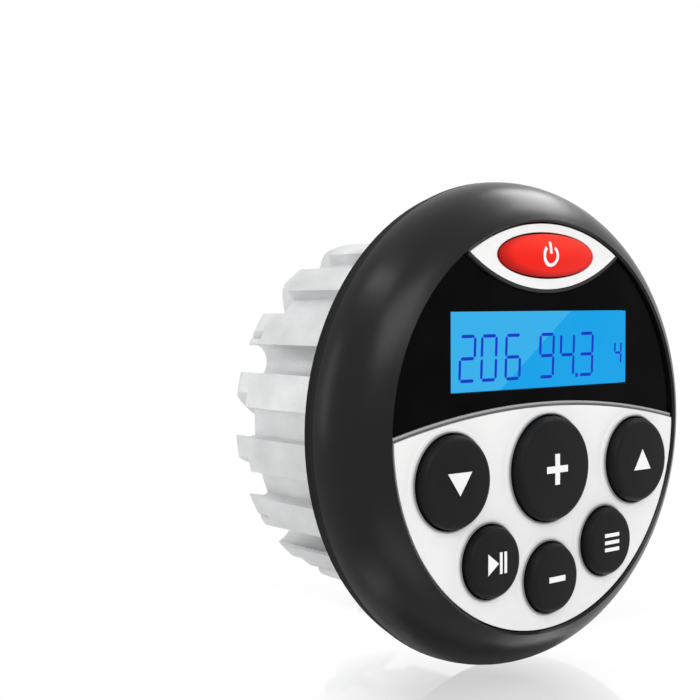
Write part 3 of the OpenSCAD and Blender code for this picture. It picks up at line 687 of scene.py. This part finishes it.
@dataclass
class KeyPrint:
    """The white sign on one key."""

    key: str
    sign: Symbol
    size: float
    lift: float = 0.00008
    sink: float = 0.0003
    cuts: int = 3
    run_up: float = 0.01

    def skin(self) -> BVHTree:
        """The key's own surface, to lay the sign on."""
        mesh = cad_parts[self.key].data
        return BVHTree.FromPolygons([v.co for v in mesh.vertices], [p.vertices for p in mesh.polygons])

    def build(self) -> None:
        """Builds the sign on the key and lets it ride with it."""
        low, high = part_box(self.key)
        centre, skin = (low + high) / 2, self.skin()
        bm = bmesh.new()
        for outline in self.sign.value:
            plate(bm, [(x * self.size, z * self.size) for x, z in outline], self.lift + self.sink)
        bmesh.ops.subdivide_edges(bm, edges=bm.edges, cuts=self.cuts, use_grid_fill=True)
        bmesh.ops.recalc_face_normals(bm, faces=bm.faces)
        for v in bm.verts:
            x, z = centre.x + v.co.x, centre.z + v.co.z
            hit = skin.ray_cast(Vector((x, low.y - self.run_up, z)), Vector((0.0, 1.0, 0.0)))[0]
            v.co = Vector((x, hit.y + self.sink + v.co.y, z))
        shown(f"{self.key}_print", bm, Finishes.ink, self.key.replace("_key", "_button"))


@dataclass
class KeyCollar:
    """The flared lip of the white face round one key, its section in millimetres out and forward."""

    key: str
    flange: float = 0.0009
    gap: float = 0.0004
    steps: int = 96
    weld: float = 1e-6
    section: tuple[Point, ...] = (
        (0.0, -0.5), (0.0, 0.58), (0.1, 0.7), (0.26, 0.68), (0.36, 0.5), (0.5, 0.32), (0.7, 0.18),
        (0.95, 0.08), (1.3, 0.02), (1.34, -0.03), (0.7, -0.04))

    def build(self) -> None:
        """Spins the lip's section round the key's axis."""
        low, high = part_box(self.key)
        centre = (low + high) / 2
        radius = (high.x - low.x) / 2 - self.flange + self.gap
        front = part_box("keypad_fascia")[0].y
        bm = bmesh.new()
        corners = [bm.verts.new((centre.x + radius + out * MM, front - rise * MM, centre.z))
                   for out, rise in self.section]
        edges = [bm.edges.new(pair) for pair in zip(corners, corners[1:] + corners[:1])]
        bmesh.ops.spin(bm, geom=corners + edges, cent=centre, axis=(0.0, 1.0, 0.0), dvec=(0.0, 0.0, 0.0),
                       angle=2.0 * math.pi, steps=self.steps, use_merge=True, use_duplicate=False)
        bmesh.ops.remove_doubles(bm, verts=bm.verts, dist=self.weld)
        rounded(bm)
        shown(f"{self.key}_collar", bm, Finishes.collar, BODY)


@dataclass
class Digit:
    """One numeral of seven segments on the display."""

    value: int
    at: Point
    size: Point = (0.0043, 0.0094)
    stroke: float = 0.0007
    inset: float = 0.24
    lean: float = 0.04

    LIT = ("abcdef", "bc", "abged", "abgcd", "fgbc", "afgcd", "afgedc", "abc", "abcdefg", "abcdfg")

    def outlines(self) -> list[Outline]:
        """The lit segments as pointed bars.

        Returns:
            Their outlines on the display.
        """
        w, h = self.size[0] / 2, self.size[1] / 2
        ends = {"a": ((-w, h), (w, h)), "g": ((-w, 0), (w, 0)), "d": ((-w, -h), (w, -h)),
                "f": ((-w, 0), (-w, h)), "e": ((-w, -h), (-w, 0)),
                "b": ((w, 0), (w, h)), "c": ((w, -h), (w, 0))}
        return [self.segment(*ends[name]) for name in self.LIT[self.value]]

    def segment(self, start: Point, end: Point) -> Outline:
        """A bar with pointed ends between two corners of the numeral.

        Args:
            start: one corner.
            end: the next corner.

        Returns:
            The bar's outline on the display.
        """
        a, b = Vector(start), Vector(end)
        way = (b - a).normalized()
        side = Vector((-way.y, way.x)) * self.stroke / 2
        a, b = a + way * self.stroke * self.inset, b - way * self.stroke * self.inset
        tip = way * self.stroke / 2
        points = [a, a + tip - side, b - tip - side, b, b - tip + side, a + tip + side]
        return [(self.at[0] + p.x + self.lean * p.y, self.at[1] + p.y) for p in points]


@dataclass
class Display:
    """The lit display with its numerals, each given with its place from side to side."""

    big: tuple[tuple[int, float], ...] = (
        (2, -0.0236), (0, -0.0172), (6, -0.0098), (9, 0.0010), (4, 0.0078), (3, 0.0143))
    small: tuple[int, float] = (4, 0.0256)
    small_size: Point = (0.0022, 0.0050)
    small_stroke: float = 0.0005
    dot: float = 0.0008
    dot_at: Point = (0.0110, -0.0047)
    drop: float = 0.0014
    lift: float = 0.00004

    def build(self) -> None:
        """Builds the numerals and the point between them."""
        low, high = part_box("lcd_glass")
        level = (low.z + high.z) / 2 - self.drop
        digits = [Digit(value, (x, level)) for value, x in self.big]
        digits.append(Digit(self.small[0], (self.small[1], level), self.small_size, self.small_stroke))
        outlines = [outline for digit in digits for outline in digit.outlines()]
        outlines.append(bar(self.dot, self.dot, (self.dot_at[0], level + self.dot_at[1])))
        bm = bmesh.new()
        for outline in outlines:
            plate(bm, outline, self.lift)
        bmesh.ops.recalc_face_normals(bm, faces=bm.faces)
        bmesh.ops.translate(bm, vec=(0.0, low.y, 0.0), verts=bm.verts)
        shown("display_numerals", bm, Finishes.digits, BODY)

    def dress(self) -> None:
        """Dresses the display's solids."""
        Finishes.lit.on("lcd_glass")
        Finishes.diffuser.on("lcd_backlight")
        Finishes.dark.on("lcd_frame")


@dataclass
class Face:
    """The ring, the inlays of the face and the seal behind them."""

    def dress(self) -> None:
        """Dresses the solids of the front."""
        Finishes.bezel.on("bezel_ring")
        Finishes.gasket.on("panel_gasket")
        Finishes.dark.on("front_housing")
        Finishes.white.on("keypad_fascia", "power_surround")
        Finishes.window.on("display_window")
        Finishes.trim.on("window_trim")
        Finishes.charcoal.on("power_trim")


@dataclass
class Keys:
    """The seven keys with their signs, and the switches behind them."""

    signs: tuple[tuple[str, Symbol, float], ...] = (
        ("power", Symbol.POWER, 0.0050), ("volume_up", Symbol.PLUS, 0.0068),
        ("volume_down", Symbol.MINUS, 0.0052), ("seek_down", Symbol.DOWN, 0.0052),
        ("seek_up", Symbol.UP, 0.0052), ("band", Symbol.PLAY_PAUSE, 0.0046), ("mode", Symbol.LIST, 0.0050))

    def round_names(self) -> list[str]:
        """The names of the round keys, which are all but the power key."""
        return [name for name, _, _ in self.signs if name != "power"]

    def build(self) -> None:
        """Builds every sign, and the lips round the round keys."""
        for name, sign, size in self.signs:
            KeyPrint(f"{name}_key", sign, size).build()
        for name in self.round_names():
            KeyCollar(f"{name}_key").build()

    def dress(self) -> None:
        """Dresses keys, plungers, switches and their board."""
        Finishes.key.on(*[f"{name}_key" for name in self.round_names()])
        Finishes.power.on("power_key")
        Finishes.plunger.on(*[f"{name}_plunger" for name, _, _ in self.signs])
        Finishes.dark.on("tact_switches")
        Finishes.front_board.on("front_board")
        Finishes.zinc.on("front_board_screws")


@dataclass
class CastBack:
    """The finned back with its collar and screws."""

    def dress(self) -> None:
        """Dresses the solids of the back."""
        Finishes.dark.on("neck_collar")
        Finishes.gasket.on("case_seal")
        Finishes.cast.on("heatsink_body")
        Finishes.zinc.on("case_screws")


@dataclass
class Works:
    """The main board and what it carries."""

    def dress(self) -> None:
        """Dresses the solids inside the back."""
        Finishes.main_board.on("main_board")
        Finishes.zinc.on("board_screws", "clip_screws")
        Finishes.chip.on("board_header", "amp_chip")
        Finishes.connector.on("board_socket", "harness_plug")
        Finishes.pad.on("thermal_pad")
        Finishes.strap.on("amp_clip", "tuner_can")
        Finishes.capacitor.on("capacitors")


@dataclass
class Wire:
    """One wire of the tail: its way down from the sleeve, then over the floor, in millimetres."""

    name: str
    colour: Colour
    down: tuple[Triple, ...]
    over: tuple[Point, ...]
    floor: float = -53.9
    diameter: float = 0.0022
    steps: int = 5
    bare: float = 0.005
    bare_steps: int = 4
    bevel_steps: int = 3
    strand: float = 0.3

    def points(self) -> list[Vector]:
        """A smooth line through the wire's marks.

        Returns:
            Its points, in metres.
        """
        lying = tuple((x, y, self.floor) for x, y in self.over)
        marks = [Vector(p) * MM for p in self.down + lying]
        line = []
        for i in range(len(marks) - 1):
            a, b, c, d = marks[max(0, i - 1)], marks[i], marks[i + 1], marks[min(len(marks) - 1, i + 2)]
            for k in range(self.steps):
                t = k / self.steps
                p = 0.5 * (2 * b + (c - a) * t + (2 * a - 5 * b + 4 * c - d) * t * t
                           + (3 * b - a - 3 * c + d) * t**3)
                line.append(Vector((p.x, p.y, max(p.z, self.floor * MM))))
        return line + [marks[-1]]

    def tube(self, name: str, line: list[Vector], radius: float, finish: Finish) -> Object:
        """A round tube along a line.

        Args:
            name: the piece's name.
            line: the points that it follows.
            radius: its radius.
            finish: its finish.

        Returns:
            The curve object.
        """
        curve = bpy.data.curves.new(name, "CURVE")
        curve.dimensions = "3D"
        curve.bevel_depth = radius
        curve.bevel_resolution = self.bevel_steps
        curve.use_fill_caps = True
        spline = curve.splines.new("POLY")
        spline.points.add(len(line) - 1)
        for mark, p in zip(spline.points, line):
            mark.co = (*p, 1.0)
        spline.use_smooth = True
        return shown(name, curve, finish, BODY)

    def build(self) -> None:
        """Builds the wire and its stripped end, and hides the wire's CAD solid."""
        line = self.points()
        cord = self.tube(f"lead_{self.name}", line, self.diameter / 2, Finishes.wire(self.name, self.colour))
        step = (line[-1] - line[-2]).normalized() * self.bare / self.bare_steps
        tip = [line[-1] + step * k for k in range(-1, self.bare_steps + 1)]
        strand = self.tube(f"strand_{self.name}", tip, self.diameter * self.strand, Finishes.tinned)
        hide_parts(f"wire_{self.name}")


@dataclass
class Tail:
    """The cable tail: sleeve, strap, studs and wires."""

    bend: float = 0.010
    run_steps: int = 10
    bend_steps: int = 24
    drop_steps: int = 56
    sides: int = 72
    bore: float = 0.0065
    bore_depth: float = 0.005
    strap_half: float = 0.0068
    strap_z: float = -0.0015
    strap_fade: float = 0.003
    upright: float = 0.9
    fold: float = 0.00095
    taut: float = 0.12
    fold_gain: float = 1.9
    fold_scale: Triple = (1.9, 45.0, 0.0)
    ripple_gain: float = 0.5
    ripple_scale: Triple = (4.4, 130.0, 7.0)
    wires: tuple[Wire, ...] = (
        Wire("black", (0.010, 0.010, 0.011), ((1.7, 46.5, -32), (5.5, 46.5, -42), (26, 46, -52)),
             ((41, 47), (73, 56), (105, 72))),
        Wire("green", (0.005, 0.27, 0.12), ((-2.3, 48, -32), (1.5, 48.5, -43), (23, 50, -52.5)),
             ((39, 52), (71, 63), (101, 81))),
        Wire("red", (0.6, 0.012, 0.012), ((1.7, 49.5, -32), (5.5, 50, -42), (26, 53, -52)),
             ((41, 57.5), (69, 70), (95, 89))),
        Wire("grey", (0.3, 0.31, 0.33), ((-2.3, 51, -32), (1.5, 51.8, -43), (22, 56.4, -52.5)),
             ((37, 62.5), (63, 77), (87, 97))),
        Wire("white", (0.84, 0.84, 0.83), ((1.7, 52.3, -32), (5.4, 53, -42), (24, 60, -52)),
             ((36, 67.5), (59, 83), (81, 104))),
        Wire("violet", (0.09, 0.05, 0.26), ((-2.3, 54, -32), (1.6, 55.2, -43), (20, 63.4, -52.5)),
             ((32, 71), (55, 87), (77, 108))),
        Wire("brown", (0.25, 0.1, 0.04), ((1.7, 55.4, -32), (4.4, 56.2, -41), (20, 67.5, -51.5)),
             ((30, 75.4), (51, 92), (72, 114))),
        Wire("teal", (0.01, 0.24, 0.24), ((-5.1, 51, -32), (-3.6, 51.5, -43), (11, 61, -52.5)),
             ((23, 74.5), (45, 94), (65, 116))))

    def axis(self, radius: float) -> list[tuple[Vector, Vector]]:
        """The sleeve's axis: back out of the case, round the bend and down.

        Args:
            radius: the sleeve's radius.

        Returns:
            Points along it, with the way it runs there.
        """
        low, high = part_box("cable_sleeve")
        top, back = high.z - radius, high.y - radius
        turn = Vector((0.0, back - self.bend, top - self.bend))
        line = []
        for k in range(self.run_steps):
            y = low.y + (turn.y - low.y) * k / self.run_steps
            line.append((Vector((0.0, y, top)), Vector((0, 1, 0))))
        for k in range(self.bend_steps + 1):
            a = math.radians(90 - 90 * k / self.bend_steps)
            out = Vector((0.0, math.cos(a), math.sin(a)))
            line.append((turn + self.bend * out, Vector((0.0, math.sin(a), -math.cos(a)))))
        for k in range(1, self.drop_steps + 1):
            z = turn.z + (low.z - turn.z) * k / self.drop_steps
            line.append((Vector((0.0, back, z)), Vector((0, 0, -1))))
        return line

    def crease(self, at: Vector, way: Vector, angle: float) -> float:
        """How deep the sleeve's skin folds in at a place.

        Args:
            at: the place on the axis.
            way: which way the axis runs there.
            angle: the angle round it.

        Returns:
            The depth, in metres.
        """
        off = abs(at.z - self.strap_z)
        if off < self.strap_half and way.z < -self.upright:
            return 0.0
        loose = self.fold if at.z > self.strap_z else self.taut * self.fold
        along = at.z - at.y
        fold, ripple = (
            abs(noise.noise(Vector((math.cos(angle) * girth, math.sin(angle) * girth, along * run + shift))))
            for girth, run, shift in (self.fold_scale, self.ripple_scale))
        tight = min(1.0, abs(off - self.strap_half) / self.strap_fade)
        return loose * tight * min(1.0, self.fold_gain * fold + self.ripple_gain * ripple)

    @staticmethod
    def grown(bm: BMesh, ring: list[BMVert]) -> list[BMVert]:
        """Extrudes a ring of vertices that ends the skin.

        Args:
            bm: the sleeve's mesh.
            ring: its last ring, in order.

        Returns:
            The new ring, in the same order.
        """
        old = set(ring)
        edges = [e for e in bm.edges if e.verts[0] in old and e.verts[1] in old]
        fresh = {g for g in bmesh.ops.extrude_edge_only(bm, edges=edges)["geom"] if isinstance(g, BMVert)}
        return [next(e.other_vert(v) for e in v.link_edges if e.other_vert(v) in fresh) for v in ring]

    def sleeve(self) -> None:
        """Builds the creased skin that stands for the sleeve."""
        low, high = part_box("cable_sleeve")
        radius = (high.x - low.x) / 2
        side = Vector((1.0, 0.0, 0.0))
        bm = bmesh.new()
        ring = bmesh.ops.create_circle(bm, cap_ends=False, segments=self.sides, radius=radius)["verts"]
        angles = [math.atan2(v.co.y, v.co.x) for v in ring]
        for k, (at, way) in enumerate(self.axis(radius)):
            ring = self.grown(bm, ring) if k else ring
            rise = way.cross(side)
            for v, angle in zip(ring, angles):
                depth = radius - self.crease(at, way, angle)
                v.co = at + side * math.cos(angle) * depth + rise * math.sin(angle) * depth
        self.mouth(bm, ring)
        bmesh.ops.contextual_create(bm, geom=[e for e in bm.edges if e.is_boundary])
        rounded(bm)
        skin = shown("sleeve_skin", bm, Finishes.sleeve, BODY)
        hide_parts("cable_sleeve")

    def mouth(self, bm: BMesh, ring: list[BMVert]) -> None:
        """Turns the sleeve's end inwards.

        Args:
            bm: the sleeve's mesh.
            ring: its last ring, in order.
        """
        centre = sum((v.co for v in ring), Vector()) / len(ring)
        for depth in (0.0, self.bore_depth):
            ring = self.grown(bm, ring)
            for v in ring:
                out = Vector((v.co.x - centre.x, v.co.y - centre.y, 0.0)).normalized()
                v.co = centre + Vector((0.0, 0.0, depth)) + out * self.bore

    def build(self) -> None:
        """Builds the wires, then the sleeve."""
        for wire in self.wires:
            wire.build()
        self.sleeve()

    def dress(self) -> None:
        """Dresses the strap, the studs and what is on them."""
        Finishes.gasket.on("cable_grommet")
        Finishes.strap.on("cable_strap")
        Finishes.thread.on("mounting_studs")
        Finishes.zinc.on("flat_washers", "spring_washers", "strap_nuts", "bracket_nuts")


@dataclass
class Lamp:
    """A soft box that looks at the object, its power in watts."""

    name: str
    place: Triple
    size: Point
    power: float

    def build(self) -> None:
        """Hangs the lamp."""
        light = bpy.data.lights.new(self.name, "AREA")
        light.shape = "RECTANGLE"
        light.size, light.size_y = self.size
        light.energy = self.power
        lamp = linked(self.name, light)
        lamp.location = self.place
        lamp.rotation_euler = (-Vector(self.place)).to_track_quat("-Z", "Y").to_euler()


@dataclass
class Studio:
    """Camera, floor and lamps."""

    distance: float = 0.29499
    azimuth: float = -45.56
    elevation: float = 5.26
    pan: float = -6.41
    tilt: float = 3.22
    roll: float = 0.32
    focal_px: float = 1261.42
    frame_px: int = 700
    sensor_mm: float = 36.0
    nearest: float = 0.01
    floor_z: float = -0.0551
    floor_half: float = 3.0
    floor_white: float = 0.62
    floor_fade: Point = (0.07, 0.13)
    white_x: Point = (0.002, 0.024)
    white_y: Point = (0.0, 0.020)
    sheen_white: float = 0.55
    sheen_at: Point = (-0.0214, -0.0196)
    sheen_fade: Point = (0.014, 0.042)
    bounce_dim: float = 0.9
    soft_light: float = 0.5
    lamps: tuple[Lamp, ...] = (
        Lamp("key_box", (0.50, 0.02, 0.52), (0.44, 0.24), 2.8),
        Lamp("top_box", (-0.42, 0.0, 0.72), (0.5, 0.12), 1.3),
        Lamp("front_box", (-0.34, -0.66, 0.52), (0.6, 0.4), 3.4),
        Lamp("rim_strip", (-0.75, 0.35, 0.06), (0.12, 0.8), 1.2))

    PAPER = {"Base Color": (0.92, 0.92, 0.92, 1.0), "Metallic": 0.5, "Roughness": 0.06}

    def camera(self) -> None:
        """Places the camera where the photo was taken from."""
        az, el = math.radians(self.azimuth), math.radians(self.elevation)
        away = Vector((math.sin(az) * math.cos(el), -math.cos(az) * math.cos(el), math.sin(el)))
        place = self.distance * away
        ahead = -place.normalized()
        right = ahead.cross(Vector((0, 0, 1))).normalized()
        up = right.cross(ahead)
        ahead, right = self.turned(ahead, right, self.pan)
        ahead, up = self.turned(ahead, up, self.tilt)
        right, up = self.turned(right, up, self.roll)
        lens = bpy.data.cameras.new("photo_camera")
        lens.sensor_fit = "HORIZONTAL"
        lens.sensor_width = self.sensor_mm
        lens.lens = self.sensor_mm * self.focal_px / self.frame_px
        lens.clip_start = self.nearest
        camera = linked("photo_camera", lens)
        axes = Matrix((right, up, -ahead)).transposed()
        camera.matrix_world = Matrix.Translation(place) @ axes.to_4x4()
        bpy.context.scene.camera = camera

    @staticmethod
    def turned(a: Vector, b: Vector, degrees: float) -> tuple[Vector, Vector]:
        """Turns two square axes in their own plane, the first towards the second."""
        c, s = math.cos(math.radians(degrees)), math.sin(math.radians(degrees))
        return a * c + b * s, b * c - a * s

    @staticmethod
    def seen_white(bench: NodeBench) -> Socket:
        """A mask of the rays that show the backdrop: to the eye, in metal and through glass.

        Args:
            bench: the bench of the floor or the world.

        Returns:
            The mask's socket.
        """
        path = bench.place("LightPath").outputs
        seen = bench.sums("MAXIMUM", path["Is Camera Ray"], path["Is Glossy Ray"])
        return bench.sums("MAXIMUM", seen, path["Is Transmission Ray"])

    def floor_share(self, bench: NodeBench) -> Socket:
        """How much of the floor is plain white: less in front of the ring and under the tail.

        Args:
            bench: the floor material's bench.

        Returns:
            The share's socket, from 0 to 1.
        """
        place = bench.coords()
        reach = bench.measure("LENGTH", place)
        near, far = self.floor_fade
        share = bench.span(reach, (near, self.floor_white), (far, 1.0))
        for axis, (start, end) in (("X", self.white_x), ("Y", self.white_y)):
            side = bench.span(bench.axis(place, axis), (start, 1.0), (end, 0.0))
            share = bench.sums("MAXIMUM", share, side)
        away = bench.measure("DISTANCE", place, (*self.sheen_at, self.floor_z))
        sheen = bench.span(away, (self.sheen_fade[0], self.sheen_white), (self.sheen_fade[1], 1.0))
        mirrored = bench.place("LightPath").outputs["Is Glossy Ray"]
        dim = bench.sums("MULTIPLY", mirrored, bench.span(reach, (near, self.bounce_dim), (far, 0.0)))
        kept = bench.sums("SUBTRACT", 1.0, dim)
        return bench.sums("MULTIPLY", bench.sums("MINIMUM", share, sheen), kept)

    def floor(self) -> None:
        """A pale floor that shows a soft shadow and a faint reflection."""
        bm = bmesh.new()
        bmesh.ops.create_grid(bm, x_segments=1, y_segments=1, size=self.floor_half)
        bmesh.ops.translate(bm, vec=(0.0, 0.0, self.floor_z), verts=bm.verts)
        material = bpy.data.materials.new("pale_floor")
        material.use_nodes = True
        bench = NodeBench(material.node_tree)
        paper = bench.place("BsdfPrincipled", self.PAPER).outputs["BSDF"]
        glow = bench.place("Emission", {"Color": WHITE, "Strength": 1.0}).outputs["Emission"]
        mask = bench.sums("MULTIPLY", self.seen_white(bench), self.floor_share(bench))
        mix = bench.place("MixShader", {0: mask, 1: paper, 2: glow})
        bench.place("OutputMaterial", {"Surface": mix.outputs["Shader"]})
        floor = linked("studio_floor", bm)
        floor.data.materials.append(material)

    def world(self) -> None:
        """Soft light from all round, white where it is seen."""
        world = bpy.data.worlds.new("studio_world")
        world.use_nodes = True
        bench = NodeBench(world.node_tree)
        soft, white = (bench.place("Background", {"Color": WHITE, "Strength": strength}).outputs["Background"]
                       for strength in (self.soft_light, 1.0))
        mix = bench.place("MixShader", {0: self.seen_white(bench), 1: soft, 2: white})
        bench.place("OutputWorld", {"Surface": mix.outputs["Shader"]})
        bpy.context.scene.world = world

    def build(self) -> None:
        """Sets the floor, the world and the lamps."""
        self.floor()
        self.world()
        for lamp in self.lamps:
            lamp.build()
        bpy.context.scene.view_settings.view_transform = "Standard"


def main() -> None:
    """Builds and dresses the receiver, with the camera and the cords first."""
    logging.basicConfig(level=logging.INFO, format="%(name)s: %(message)s")
    studio, tail, keys, display = Studio(), Tail(), Keys(), Display()
    studio.camera()
    tail.build()
    keys.build()
    display.build()
    for part in (tail, keys, display, Face(), CastBack(), Works()):
        part.dress()
    studio.build()


if __name__ == "__main__":
    main()
